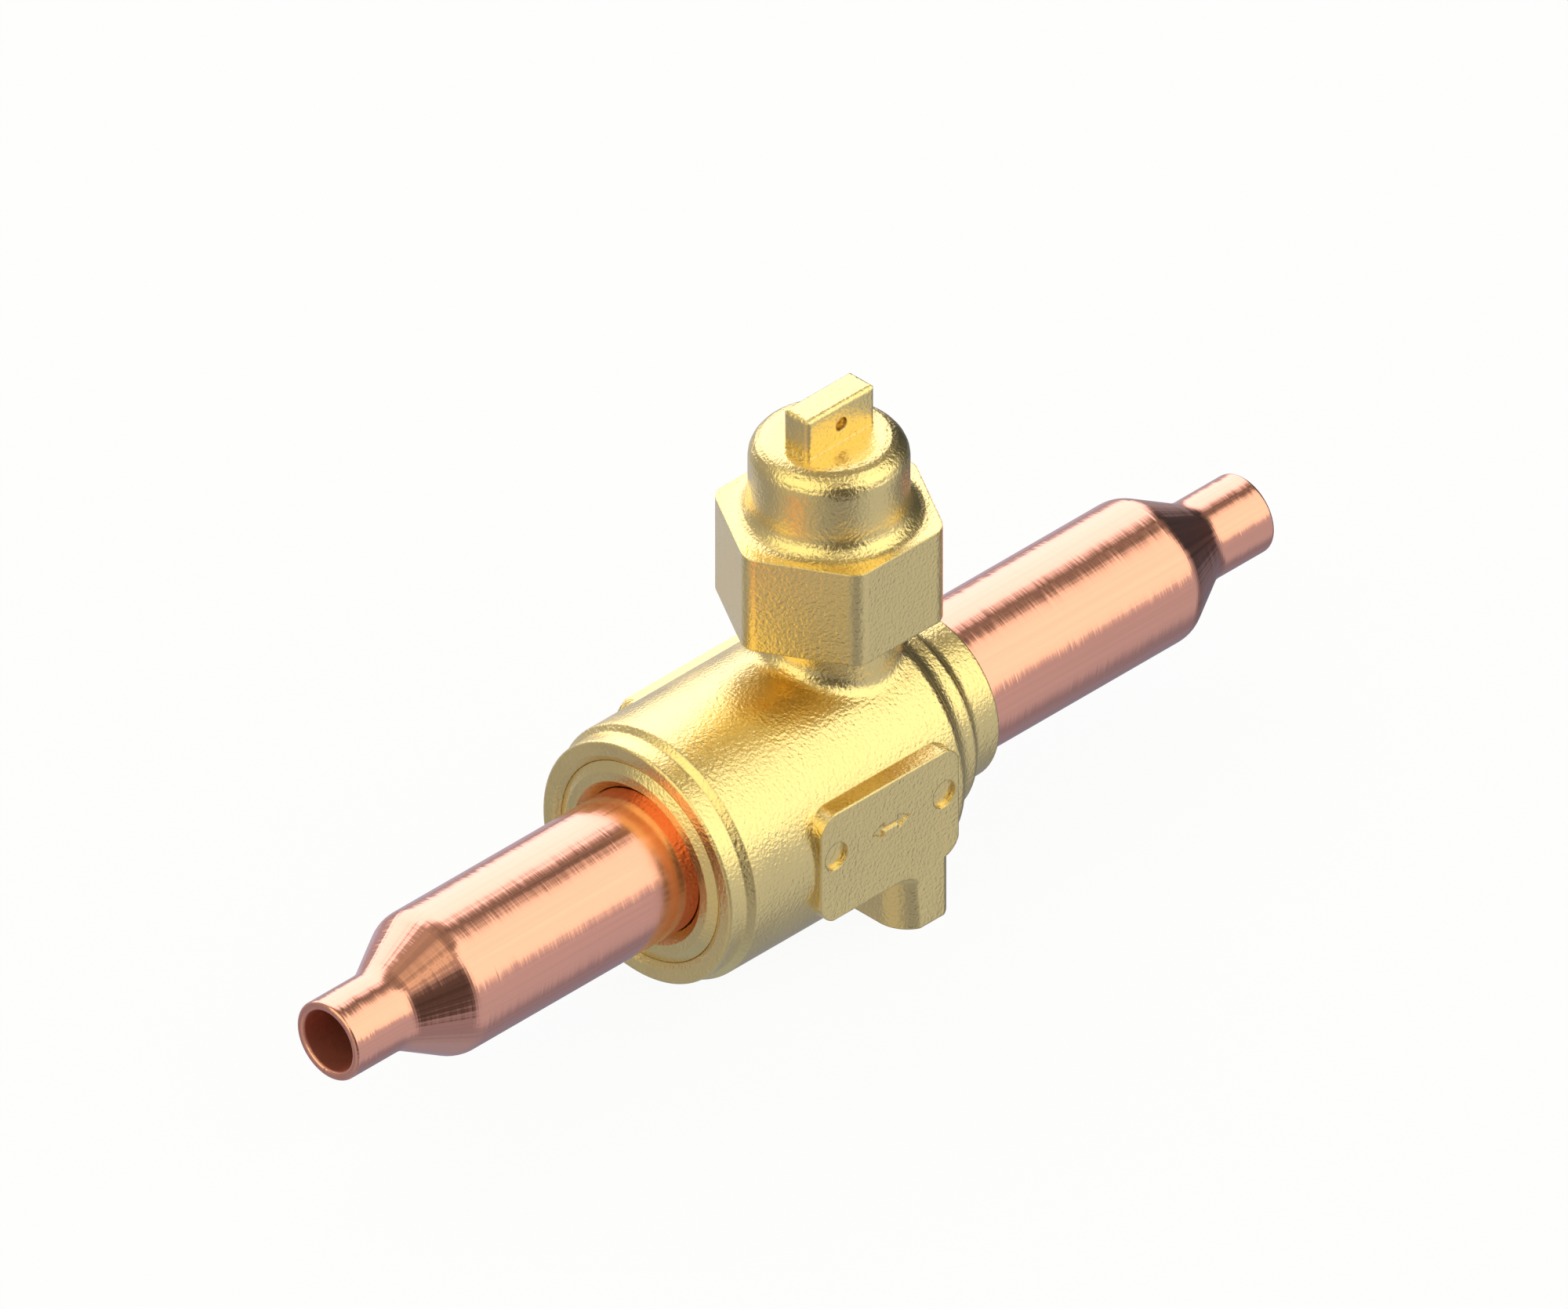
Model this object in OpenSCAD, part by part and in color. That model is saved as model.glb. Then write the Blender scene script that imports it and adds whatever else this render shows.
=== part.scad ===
// Shut-off ball valve with soldered copper stubs and a hexagonal seal cap.
// Millimetres. The stem axis is Z, the pipe axis is X at axis_h above the foot face (z = 0).
// The open port lies along X. The near stub points to -X, the far stub to +X.

/* [Overall] */
// Length over both stub ends
overall_len = 181.5; // [150:0.1:220]

/* [Copper stubs] */
// Outside diameter of the wide copper tube
tube_d = 22.22; // [20:0.01:24]
// Wall thickness of the copper
tube_wall = 1.35; // [0.9:0.05:1.6]
// Bore of the reduced end, where the line is soldered in
solder_bore_d = 9.53; // [6.35:0.01:12.7]
// Straight length of the reduced end
small_len = 10.8; // [7:0.1:16]
// Length of the cone between the two diameters
cone_len = 8.9; // [6:0.1:16]
// Stem axis to the end of the near stub
near_reach = 99.3; // [80:0.1:104]
// Bend radius where the cone starts and ends
cone_blend_r = 5; // [2:0.5:6]
// Rounding of the stub's end lip
lip_r = 0.5; // [0.2:0.05:0.6]

/* [Brass body] */
// Height of the pipe axis above the foot face
axis_h = 18.8; // [18:0.1:19.4]
// Diameter of the main barrel
barrel_d = 39.4; // [38.6:0.1:40.4]
// Stem axis to the near end face of the body
body_near = 38.1; // [34:0.1:45]
// Stem axis to the far edge of the barrel's full diameter
barrel_far = 7.8; // [7:0.1:8.2]
// Rounding of that edge
barrel_edge_r = 1.9; // [1.2:0.1:2.2]
// Slope of the two steps beyond it
far_step_angle = 70; // [65:1:80]
// Diameter of the seat housing beyond the barrel
housing_d = 31.5; // [30.8:0.1:33]
// Stem axis to the far edge of the seat housing
housing_far = 14.1; // [13.6:0.1:15]
// Rounding of that edge
housing_edge_r = 1.6; // [1:0.1:1.8]
// Diameter of the hub round the far tube socket
hub_d = 26.3; // [25.6:0.1:28]
// Stem axis to the far end face of the hub
hub_far = 20.8; // [19:0.1:26]
// Diameter of the ring beside the near end face
near_ring_d = 37.4; // [36:0.1:38.2]
// Width of that ring
near_ring_w = 3.1; // [2:0.1:5]
// Rounding of the turned outer edges
edge_r = 0.5; // [0.2:0.05:0.8]
// Rounding of the bevels and of the inner corners
bevel_r = 0.4; // [0.2:0.05:0.45]

/* [Side pads and foot] */
// Distance between the two pad faces
pad_span = 40.8; // [40:0.1:44]
// Length of each pad along the pipe
pad_len = 27.4; // [22:0.1:34]
// Height of each pad
pad_h = 18.2; // [14:0.1:22]
// Shift of the pads from the stem axis towards the near end
pad_shift = 8.25; // [6:0.05:12]
// Corner radius of the pads
pad_corner_r = 3.5; // [2:0.1:6]
// Rounding round the pad face
pad_edge_r = 0.3; // [0.2:0.05:1]
// Diameter of the two shallow round marks on each pad
mark_d = 4.3; // [3:0.1:6]
// Distance between the two marks
mark_pitch = 21.3; // [16:0.1:22]
// Height of the marks above the pad's centre line
mark_rise = 1.8; // [0:0.1:3]
// Depth of the marks
mark_depth = 0.6; // [0.1:0.05:0.8]
// Width of the foot bar
foot_w = 10.9; // [9.5:0.1:14]
// Fillet between the foot bar and the pads
foot_fillet_r = 2.2; // [0.8:0.1:2.8]
// Distance between the two mounting holes
foot_hole_pitch = 31; // [29:0.1:33]
// Tapping diameter of the mounting holes
foot_hole_d = 4.2; // [3.3:0.1:5]
// Depth of the mounting holes
foot_hole_depth = 7; // [5:0.5:8]

/* [Chamber and end plug] */
// Diameter of the ball chamber
chamber_d = 27; // [26.4:0.1:28]
// Thread diameter of the end plug
plug_thread_d = 31; // [30:0.1:32]
// Radial gap at the plug's thread
plug_clear = 0.06; // [0.03:0.01:0.1]
// Stem axis to the shoulder that the plug is screwed against
plug_shoulder = 20; // [18:0.5:24]
// How far the plug's face stands out of the body's end face
plug_proud = 0.05; // [0:0.05:1]
// Outer diameter of the plug's flat face
plug_face_d = 28.1; // [26.5:0.1:28.5]
// Mouth diameter of the V-groove at the joint with the body
joint_groove_d = 33; // [32:0.1:35.2]
// Depth of that groove below the body's end face
joint_groove_depth = 0.7; // [0.2:0.05:0.8]
// Chamfer at the mouth of the plug's tube socket
plug_chamfer = 1.4; // [0.5:0.1:1.8]
// Depth of the near tube socket
near_socket_len = 10.2; // [7:0.1:14]
// Depth of the far tube socket
far_socket_len = 6.3; // [4.5:0.1:6.8]
// Radial gap between a tube and its socket
braze_gap = 0.1; // [0.05:0.01:0.15]
// Section of the braze ring's groove
braze_ring_w = 1; // [0.6:0.05:1.2]

/* [Ball and seats] */
// Diameter of the ball
ball_d = 25; // [24.4:0.1:25.4]
// Diameter of the ball's port
port_d = 15; // [12:0.1:15.6]
// Diameter of the pressure relief hole in the slot's floor
vent_d = 1.2; // [0.8:0.1:2]
// Outer diameter of the seat rings
seat_d = 23.8; // [23.4:0.1:24.4]
// Bore of the seat rings and of the passages behind them
seat_bore_d = 15.6; // [15.6:0.1:17]
// Stem axis to the back of each seat ring
seat_back = 12.6; // [12.2:0.1:13]
// Width of each seat ring along the pipe
seat_w = 5; // [4:0.1:5.6]
// How far each seat ring stands out of its pocket
seat_stand = 0.8; // [0.5:0.1:1.2]
// Gap between a seat and the ball
seat_gap = 0.12; // [0.05:0.01:0.2]
// Section of the seat O-rings
seat_oring_d = 1.3; // [1:0.05:1.5]
// Section of the end plug's O-ring
plug_oring_d = 1.6; // [1.2:0.05:1.8]
// From the plug's shoulder to the middle of its O-ring
plug_oring_back = 3; // [2:0.1:5]
// Width of an O-ring's groove as a multiple of the ring's section
groove_room = 1.3; // [1.1:0.05:1.4]

/* [Stem and neck] */
// Diameter of the neck
neck_d = 20.3; // [19.5:0.1:21]
// Top of the plain neck above the pipe axis
neck_plain_top = 25.6; // [24:0.1:25.8]
// Core diameter of the neck's thread
neck_thread_d = 18.4; // [18:0.1:18.8]
// Top rim of the neck above the pipe axis
neck_top = 34; // [33.6:0.1:36]
// Chamfer at the neck's rim
neck_chamfer = 0.5; // [0.3:0.05:0.8]
// Fillet between the neck and the barrel
neck_fillet_r = 2.8; // [1.5:0.1:3.4]
// Diameter of the stem's shaft
stem_d = 9; // [8.6:0.1:9.4]
// Running gap round the stem
stem_clear = 0.05; // [0.02:0.01:0.08]
// Diameter of the stem's collar
collar_d = 13.6; // [12:0.1:14]
// Thickness of the stem's collar
collar_h = 1.7; // [1.2:0.1:2]
// Gap round the collar
collar_gap = 0.2; // [0.1:0.05:0.4]
// Thickness of the thrust washer above the collar
thrust_h = 0.5; // [0.3:0.05:0.8]
// Height of the pocket roof, which the thrust washer bears on, above the pipe axis
pocket_top = 16.2; // [16:0.1:16.8]
// Thickness of the stem's tang
tang_w = 3.9; // [3:0.1:4.5]
// Length of the tang across the stem
tang_len = 9.4; // [7:0.1:11]
// Height of the tang's lower end above the pipe axis
tang_bottom = 9.6; // [9:0.1:10]
// Gap between the tang and the ball's slot
tang_gap = 0.1; // [0.05:0.01:0.2]
// Section of the stem's O-rings
stem_oring_d = 1.35; // [1.1:0.05:1.5]
// Thickness of the backup rings above them
backup_h = 1; // [0.6:0.1:1.4]
// Lower edge of the lower O-ring groove above the pipe axis
lower_groove = 18.2; // [17.6:0.1:19]
// Distance from one O-ring groove to the next
groove_pitch = 5.4; // [4.6:0.1:6]
// Diameter of the well round the stem's upper end
well_d = 14; // [13:0.1:14.6]
// Depth of that well below the rim
well_depth = 3.6; // [3:0.1:4.2]
// Diameter of the stop pin
pin_d = 2.5; // [2:0.1:3]
// Length of the stop pin
pin_len = 13; // [12:0.1:13.4]
// Gap between the stop pin and its stops, and above the well's floor
stop_gap = 0.2; // [0.1:0.01:0.3]
// Width across the flats of the stem's square
square_w = 6.3; // [5.5:0.1:6.4]
// Top of the stem's square above the pipe axis
square_top = 38.5; // [37.5:0.1:39]
// Width of the position line on the square
line_w = 1; // [0.6:0.1:1.4]

/* [Seal cap] */
// Width across the flats of the hexagon
hex_w = 29.2; // [28.8:0.1:32]
// Rounding of the hexagon's upright edges
hex_corner_r = 3; // [0.5:0.05:3.5]
// Height of the hexagon
hex_h = 15.5; // [13:0.1:20]
// Gap between the plain neck and the cap's lower face
cap_gap = 0.4; // [0.2:0.1:1]
// Thread bore of the cap
cap_thread_d = 20.1; // [20:0.1:20.8]
// Diameter of the cavity over the stem's square
cavity_d = 14.4; // [13.4:0.1:15]
// Clear height over the stem's square
cavity_over = 5.5; // [5:0.1:6.5]
// Angle of the drill's tip at the cavity's end
drill_angle = 118; // [90:1:140]
// Diameter of the round crown above the hexagon
crown_d = 22.84; // [21:0.1:24]
// Fillet between the hexagon's top and the crown
crown_fillet_r = 2.9; // [1:0.1:3.2]
// Flat left between that fillet's foot and the hexagon's sides
fillet_foot = 0.05; // [0.02:0.01:0.1]
// Height of the crown above the hexagon
crown_h = 12.9; // [10:0.1:16]
// Rounding of the crown's top edge
crown_edge_r = 3.5; // [1:0.1:4]
// Length of the blade on top
blade_len = 13.3; // [9:0.1:14]
// Thickness of the blade
blade_w = 5; // [3:0.1:7]
// Height of the blade
blade_h = 6.5; // [5:0.1:12]
// Rounding of the blade's edges
blade_edge_r = 0.75; // [0.2:0.05:1]
// Diameter of the sealing-wire hole through the blade
wire_hole_d = 2.1; // [1.5:0.1:3]
// Height of the wire hole above the crown
wire_hole_rise = 3.1; // [2.5:0.1:4]
// Thickness of the cap's gasket
gasket_h = 1.2; // [0.8:0.1:2]
// Gap between the gasket and the cap's walls
gasket_clear = 0.1; // [0.05:0.01:0.2]

/* [Hidden] */
$fn = 96;

BRASS = [0.85, 0.72, 0.36];
PLUG_BRASS = [0.80, 0.68, 0.38];
COPPER = [0.85, 0.52, 0.38];
STEEL = [0.72, 0.73, 0.75];
PTFE = [0.93, 0.93, 0.90];
RUBBER = [0.10, 0.10, 0.11];
SILVER_ALLOY = [0.82, 0.80, 0.70];

full_turn = 360;
half_turn = full_turn / 2;
// Straight pieces in each rounded corner of a turned profile
corner_steps = 6;
// Overlap that makes one cut run past another, or one solid root in another
bite = 1;
// Small gap that keeps a seal off the wall it faces
seal_clear = 0.02;
// Gap between the plug's pilot and the chamber, and round a seat in its pocket
pilot_clear = 0.1;
// Small chamfer at the mouth of a hole
mouth_chamfer = 0.4;
// Straight slope left between the two roundings of a far step
step_slack = 0.1;

far_reach = overall_len - near_reach;
tube_r = tube_d / 2;
small_r = solder_bore_d / 2 + tube_wall;
socket_r = tube_r + braze_gap;
seat_front = seat_back - seat_w;
near_socket_end = body_near + plug_proud - near_socket_len;
barrel_step = (barrel_d - housing_d) / 2;
housing_step = (housing_d - hub_d) / 2;
// Hollow rounding at a step's foot, which takes up the slope that the edge's rounding leaves
function foot_rounding(step, edge) = step / (1 - cos(far_step_angle)) - edge - step_slack;
barrel_foot_r = foot_rounding(barrel_step, barrel_edge_r);
housing_foot_r = foot_rounding(housing_step, housing_edge_r);
barrel_foot = barrel_far + barrel_step / tan(far_step_angle);
housing_foot = housing_far + housing_step / tan(far_step_angle);
far_socket_end = hub_far - far_socket_len;
pocket_d = seat_d + 2 * pilot_clear;
plug_front = seat_front + seat_stand;
stem_bore_r = stem_d / 2 + stem_clear;
groove_r = stem_d / 2 - stem_oring_d;
groove_h = stem_oring_d * groove_room + backup_h;
upper_groove = lower_groove + groove_pitch;
collar_top = pocket_top - thrust_h;
slot_w = tang_w + 2 * tang_gap;
well_floor = neck_top - well_depth;
pin_z = well_floor + stop_gap + pin_d / 2;
cap_bottom = neck_plain_top + cap_gap;
hex_top = cap_bottom + hex_h;
crown_top = hex_top + crown_h;
gasket_top = neck_top + gasket_h;
cavity_top = square_top + cavity_over;
plug_oring_x = plug_shoulder - plug_oring_back;
plug_groove_w = plug_oring_d * groove_room;
plug_pilot_r = chamber_d / 2 - pilot_clear;
plug_groove_depth = plug_oring_d - pilot_clear + 2 * seal_clear;

function unit(v) = v / norm(v);
function flat(p) = [p[0], p[1]];
function turn(a, b) = let (d = b - a)
    d > half_turn ? d - full_turn : d < -half_turn ? d + full_turn : d;

// Arc of radius r that rounds the corner at b between its neighbours a and c
function corner_arc(a, b, c, r) =
    let (u = unit(a - b), v = unit(c - b), half = acos(u * v) / 2,
         mid = b + unit(u + v) * r / sin(half),
         p = b + u * r / tan(half) - mid,
         q = b + v * r / tan(half) - mid,
         start = atan2(p[1], p[0]), sweep = turn(start, atan2(q[1], q[0])))
    [for (i = [0 : corner_steps])
        mid + r * [cos(start + sweep * i / corner_steps), sin(start + sweep * i / corner_steps)]];

// Outline from points [x, y, corner radius], each corner rounded where its radius is not zero
function rounded(path) = let (n = len(path))
    [for (i = [0 : n - 1]) each (path[i][2] > 0
        ? corner_arc(flat(path[(i + n - 1) % n]), flat(path[i]), flat(path[(i + 1) % n]), path[i][2])
        : [flat(path[i])])];

module on_axis() { translate([0, 0, axis_h]) children(); }
module near_side() { mirror([1, 0, 0]) children(); }
module both_sides() { children(); mirror([0, 1, 0]) children(); }

// Solid of revolution about the pipe axis, from points [radius, x]
module turned_x(path) { rotate([0, 90, 0]) rotate_extrude() polygon(path); }
// Solid of revolution about the stem axis, from points [radius, z]
module turned_z(path) { rotate_extrude() polygon(path); }
// Ring about the pipe axis between two radii and two places
module ring_x(r_in, r_out, x0, x1) {
    turned_x([[r_in, x0], [r_out, x0], [r_out, x1], [r_in, x1]]);
}
module ring_z(r_in, r_out, z0, z1) {
    turned_z([[r_in, z0], [r_out, z0], [r_out, z1], [r_in, z1]]);
}
module bar_x(r, x0, x1) { translate([x0, 0, 0]) rotate([0, 90, 0]) cylinder(r = r, h = x1 - x0); }
module bar_z(r, z0, z1) { translate([0, 0, z0]) cylinder(r = r, h = z1 - z0); }
// O-ring about the stem axis
module oring(mid_r, section_d) {
    rotate_extrude() translate([mid_r, 0]) circle(d = section_d, $fn = 32);
}
// Rectangle with rounded corners, centred
module soft_rect(w, h, r) {
    square([w - 2 * r, h], center = true);
    square([w, h - 2 * r], center = true);
    for (sx = [-1, 1], sy = [-1, 1])
        translate([sx * (w / 2 - r), sy * (h / 2 - r)]) circle(r = r, $fn = 48);
}
// Block whose outline seen along Y has radius r, with every other edge rounded by e
module soft_block(w, d, h, r, e) {
    intersection() {
        rotate([90, 0, 0]) linear_extrude(d, center = true) soft_rect(w, h, r);
        linear_extrude(h, center = true) soft_rect(w, d, e);
        rotate([90, 0, 90]) linear_extrude(w, center = true) soft_rect(d, h, e);
    }
}

// Fillet of a rolling ball between the upright neck and the barrel, down its far step to the housing
module neck_fillet() {
    neck_r = neck_d / 2;
    f = neck_fillet_r;
    around = 96;
    across = 7;
    sunk = 4;
    half_slope = tan(far_step_angle / 2);
    edge_start = barrel_far - barrel_edge_r * half_slope;
    foot_end = barrel_foot + barrel_foot_r * half_slope;
    over = barrel_edge_r + f;
    under = max(step_slack, barrel_foot_r - f);
    // Slope of the ground that the ball touches when its middle is at x
    function slope(x) =
        x < edge_start || x > foot_end ? 0
        : x < edge_start + over * sin(far_step_angle) ? asin((x - edge_start) / over)
        : asin(min(sin(far_step_angle), (foot_end - x) / under));
    // Distance of its middle from the pipe axis
    function ball_r(x) =
        x < edge_start + over * sin(far_step_angle)
        ? barrel_d / 2 - barrel_edge_r + over * cos(slope(x))
        : housing_d / 2 + barrel_foot_r - (barrel_foot_r - f) * cos(slope(x));
    // Middle of the rolling ball at angle t round the neck
    function ball_at(t) = let (x = (neck_r + f) * cos(t), y = (neck_r + f) * sin(t))
        [x, y, sqrt(pow(ball_r(x), 2) - y * y)];
    // Point k of the arc from the neck's wall to the barrel's
    function arc_point(t, k) =
        let (c = ball_at(t),
             to_neck = -[cos(t), sin(t), 0],
             to_barrel = -[sin(slope(c[0])), 0, 0] - cos(slope(c[0])) * unit([0, c[1], c[2]]),
             angle = acos(to_neck * to_barrel),
             s = -sunk + (angle + 2 * sunk) * k / (across - 1))
        c + f * (to_neck * sin(angle - s) + to_barrel * sin(s)) / sin(angle);
    function root_point(t) = let (x = (neck_r - bite) * cos(t), y = (neck_r - bite) * sin(t))
        [x, y, sqrt(pow(ball_r((neck_r + f) * cos(t)) - f, 2) - y * y) - 2 * bite];
    ring = across + 1;
    points = [for (i = [0 : around - 1]) let (t = full_turn * i / around)
                 each [for (k = [0 : across - 1]) arc_point(t, k), root_point(t)]];
    faces = [for (i = [0 : around - 1], k = [0 : ring - 1])
                 let (j = (i + 1) % around, m = (k + 1) % ring)
                 each [[i * ring + k, j * ring + k, i * ring + m],
                       [i * ring + m, j * ring + k, j * ring + m]]];
    polyhedron(points, faces, convexity = 6);
}

module barrel() {
    r = barrel_d / 2;
    turned_x(rounded([
        [0, -body_near, 0],
        [near_ring_d / 2, -body_near, edge_r],
        [near_ring_d / 2, -body_near + near_ring_w, bevel_r],
        [r, -body_near + near_ring_w + (r - near_ring_d / 2), bevel_r],
        [r, barrel_far, barrel_edge_r],
        [housing_d / 2, barrel_foot, barrel_foot_r],
        [housing_d / 2, housing_far, housing_edge_r],
        [hub_d / 2, housing_foot, housing_foot_r],
        [hub_d / 2, hub_far, edge_r],
        [0, hub_far, 0]]));
}

module side_pads() {
    translate([-pad_shift, 0, 0])
        soft_block(pad_len, pad_span, pad_h, pad_corner_r, pad_edge_r);
}

// Section of the foot's flare: a hollow fillet up to the pad's underside
module flare_section() {
    side = foot_w / 2;
    top = -pad_h / 2;
    difference() {
        translate([0, top - foot_fillet_r]) square([side + foot_fillet_r, foot_fillet_r + bite]);
        translate([side + foot_fillet_r, top - foot_fillet_r]) circle(r = foot_fillet_r);
    }
}

// Bar across the underside, round at both ends and cut flush with the pads' faces
module foot_bar() {
    end_y = foot_hole_pitch / 2;
    intersection() {
        union() {
            translate([0, 0, -axis_h]) linear_extrude(axis_h - bite) {
                square([foot_w, foot_hole_pitch], center = true);
                both_sides() translate([0, end_y]) circle(d = foot_w);
            }
            intersection() {
                union() {
                    both_sides() translate([0, end_y, 0]) rotate_extrude() flare_section();
                    rotate([90, 0, 0]) linear_extrude(foot_hole_pitch, center = true)
                        mirror([1, 0]) flare_section();
                }
                translate([-foot_w, 0, 0]) cube(2 * [foot_w, pad_span, axis_h], center = true);
            }
        }
        cube([4 * foot_w, pad_span, 2 * axis_h], center = true);
    }
}

module neck() {
    turned_z(rounded([
        [0, 0, 0],
        [neck_d / 2, 0, 0],
        [neck_d / 2, neck_plain_top, bevel_r],
        [neck_thread_d / 2, neck_plain_top, 0],
        [neck_thread_d / 2, neck_top - neck_chamfer, 0],
        [neck_thread_d / 2 - neck_chamfer, neck_top, 0],
        [0, neck_top, 0]]));
}

// Bore through the body: plug thread, chamber, far seat pocket, passage, tube socket
module body_bore() {
    thread_r = plug_thread_d / 2 + plug_clear;
    turned_x([
        [0, -body_near - bite],
        [joint_groove_d / 2, -body_near - bite],
        [joint_groove_d / 2, -body_near],
        [thread_r, -body_near + joint_groove_depth],
        [thread_r, -plug_shoulder],
        [chamber_d / 2, -plug_shoulder],
        [chamber_d / 2, seat_front],
        [pocket_d / 2, seat_front + seat_stand],
        [pocket_d / 2, seat_back],
        [seat_bore_d / 2, seat_back],
        [seat_bore_d / 2, far_socket_end],
        [socket_r, far_socket_end],
        [socket_r, hub_far - mouth_chamfer],
        [socket_r + mouth_chamfer, hub_far],
        [socket_r + mouth_chamfer, hub_far + bite],
        [0, hub_far + bite]]);
    braze_groove(hub_far - far_socket_len / 2);
}

module braze_groove(x) {
    ring_x(socket_r - bite, socket_r + braze_ring_w / 2, x - braze_ring_w / 2, x + braze_ring_w / 2);
}

// Sweep of the stop pin in the well, a quarter turn clockwise from the X axis on both sides
module stop_sweep() {
    w = pin_d / 2 + stop_gap;
    reach = well_d;
    intersection() {
        bar_z(well_d / 2, well_floor, neck_top + bite);
        for (a = [0, half_turn]) rotate([0, 0, a])
            translate([-w, w - reach, well_floor]) cube([reach, reach, well_depth + bite]);
    }
}

module stem_bore() {
    bar_z(stem_bore_r, 0, neck_top + bite);
    bar_z(collar_d / 2 + collar_gap, 0, pocket_top);
    stop_sweep();
}

module foot_holes() {
    both_sides() translate([0, foot_hole_pitch / 2, -axis_h - bite])
        cylinder(d = foot_hole_d, h = foot_hole_depth + bite);
}

module pad_marks() {
    both_sides() for (s = [-1, 1])
        translate([-pad_shift + s * mark_pitch / 2, pad_span / 2 - mark_depth, mark_rise])
            rotate([-90, 0, 0]) cylinder(d = mark_d, h = bite);
}

module valve_body() {
    on_axis() color(BRASS) difference() {
        union() {
            barrel();
            side_pads();
            foot_bar();
            neck();
            neck_fillet();
        }
        translate([0, 0, -axis_h - barrel_d / 2])
            cube([2 * near_reach, barrel_d, barrel_d], center = true);
        body_bore();
        stem_bore();
        foot_holes();
        pad_marks();
    }
}

module end_plug() {
    face = -body_near - plug_proud;
    thread_r = plug_thread_d / 2;
    on_axis() color(PLUG_BRASS) difference() {
        turned_x([
            [0, face],
            [plug_face_d / 2, face],
            [thread_r, -body_near + joint_groove_depth],
            [thread_r, -plug_shoulder],
            [plug_pilot_r, -plug_shoulder],
            [plug_pilot_r, -plug_front],
            [0, -plug_front]]);
        turned_x([
            [0, face - bite],
            [socket_r + plug_chamfer, face - bite],
            [socket_r + plug_chamfer, face],
            [socket_r, face + plug_chamfer],
            [socket_r, -near_socket_end],
            [seat_bore_d / 2, -near_socket_end],
            [seat_bore_d / 2, -seat_back],
            [pocket_d / 2, -seat_back],
            [pocket_d / 2, -plug_front + bite],
            [0, -plug_front + bite]]);
        braze_groove(-body_near + near_socket_len / 2);
        ring_x(plug_pilot_r - plug_groove_depth, plug_pilot_r + bite,
               -plug_oring_x - plug_groove_w / 2, -plug_oring_x + plug_groove_w / 2);
    }
}

module end_plug_oring() {
    on_axis() color(RUBBER) translate([-plug_oring_x, 0, 0]) rotate([0, 90, 0])
        oring(chamber_d / 2 - seal_clear - plug_oring_d / 2, plug_oring_d);
}

module ball() {
    on_axis() color(STEEL) difference() {
        sphere(d = ball_d);
        bar_x(port_d / 2, -ball_d, ball_d);
        translate([-slot_w / 2, -ball_d, tang_bottom - 2 * tang_gap])
            cube([slot_w, 2 * ball_d, ball_d]);
        bar_z(vent_d / 2, 0, ball_d);
    }
}

// Seat ring with a spherical face, and a rebate behind it for its O-ring
module seat() {
    rebate = seat_oring_d + 2 * seal_clear;
    on_axis() color(PTFE) difference() {
        ring_x(seat_bore_d / 2, seat_d / 2, seat_front, seat_back);
        sphere(d = ball_d + 2 * seat_gap);
        ring_x(seat_d / 2 - rebate, seat_d, seat_back - rebate, seat_back + bite);
    }
}
module seat_far() { seat(); }
module seat_near() { near_side() seat(); }

module seat_oring() {
    on_axis() color(RUBBER)
        translate([seat_back - seal_clear - seat_oring_d / 2, 0, 0]) rotate([0, 90, 0])
            oring(seat_d / 2 - seal_clear - seat_oring_d / 2, seat_oring_d);
}
module seat_oring_far() { seat_oring(); }
module seat_oring_near() { near_side() seat_oring(); }

module stem() {
    on_axis() color(STEEL) difference() {
        union() {
            turned_z([
                [0, collar_top - collar_h],
                [collar_d / 2, collar_top - collar_h],
                [collar_d / 2, collar_top],
                [stem_d / 2, collar_top],
                [stem_d / 2, neck_top],
                [0, neck_top]]);
            translate([-tang_w / 2, -tang_len / 2, tang_bottom])
                cube([tang_w, tang_len, collar_top - tang_bottom]);
            translate([-square_w / 2, -square_w / 2, neck_top - bite])
                cube([square_w, square_w, square_top - neck_top + bite]);
        }
        for (z = [lower_groove, upper_groove])
            ring_z(groove_r, stem_d, z, z + groove_h);
        translate([0, 0, pin_z]) bar_x(pin_d / 2 + seal_clear, -stem_d, stem_d);
        translate([-square_w, -line_w / 2, square_top - line_w / 2])
            cube([2 * square_w, line_w, line_w]);
    }
}

module stem_thrust_washer() {
    on_axis() color(PTFE) ring_z(stem_d / 2 + seal_clear, collar_d / 2, collar_top, pocket_top);
}

module stem_oring(z) {
    on_axis() color(RUBBER) translate([0, 0, z + (groove_h - backup_h) / 2])
        oring(groove_r + seal_clear + stem_oring_d / 2, stem_oring_d);
}
module stem_oring_lower() { stem_oring(lower_groove); }
module stem_oring_upper() { stem_oring(upper_groove); }

module backup_ring(z) {
    on_axis() color(PTFE) ring_z(groove_r + seal_clear, stem_d / 2, z + groove_h - backup_h, z + groove_h);
}
module stem_backup_ring_lower() { backup_ring(lower_groove); }
module stem_backup_ring_upper() { backup_ring(upper_groove); }

module stop_pin() {
    on_axis() color(STEEL) translate([0, 0, pin_z]) bar_x(pin_d / 2, -pin_len / 2, pin_len / 2);
}

// Hexagon with rounded upright edges, a corner on the X axis
module hexagon() {
    corner = hex_w / sqrt(3) - hex_corner_r * 2 / sqrt(3);
    linear_extrude(hex_h) {
        polygon([for (a = [0 : 60 : 300], side = [-1, 1])
            corner * [cos(a), sin(a)] + hex_corner_r * [cos(a + side * 30), sin(a + side * 30)]]);
        for (a = [0 : 60 : 300]) rotate(a) translate([corner, 0]) circle(r = hex_corner_r, $fn = 48);
    }
}

// Round crown with a hollow fillet below and a rounded shoulder above
module crown() {
    foot_r = crown_d / 2 + crown_fillet_r + fillet_foot;
    turned_z(rounded([
        [0, hex_top - bite, 0],
        [foot_r, hex_top - bite, 0],
        [foot_r, hex_top, 0],
        [crown_d / 2, hex_top, crown_fillet_r],
        [crown_d / 2, crown_top, crown_edge_r],
        [0, crown_top, 0]]));
}

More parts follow.
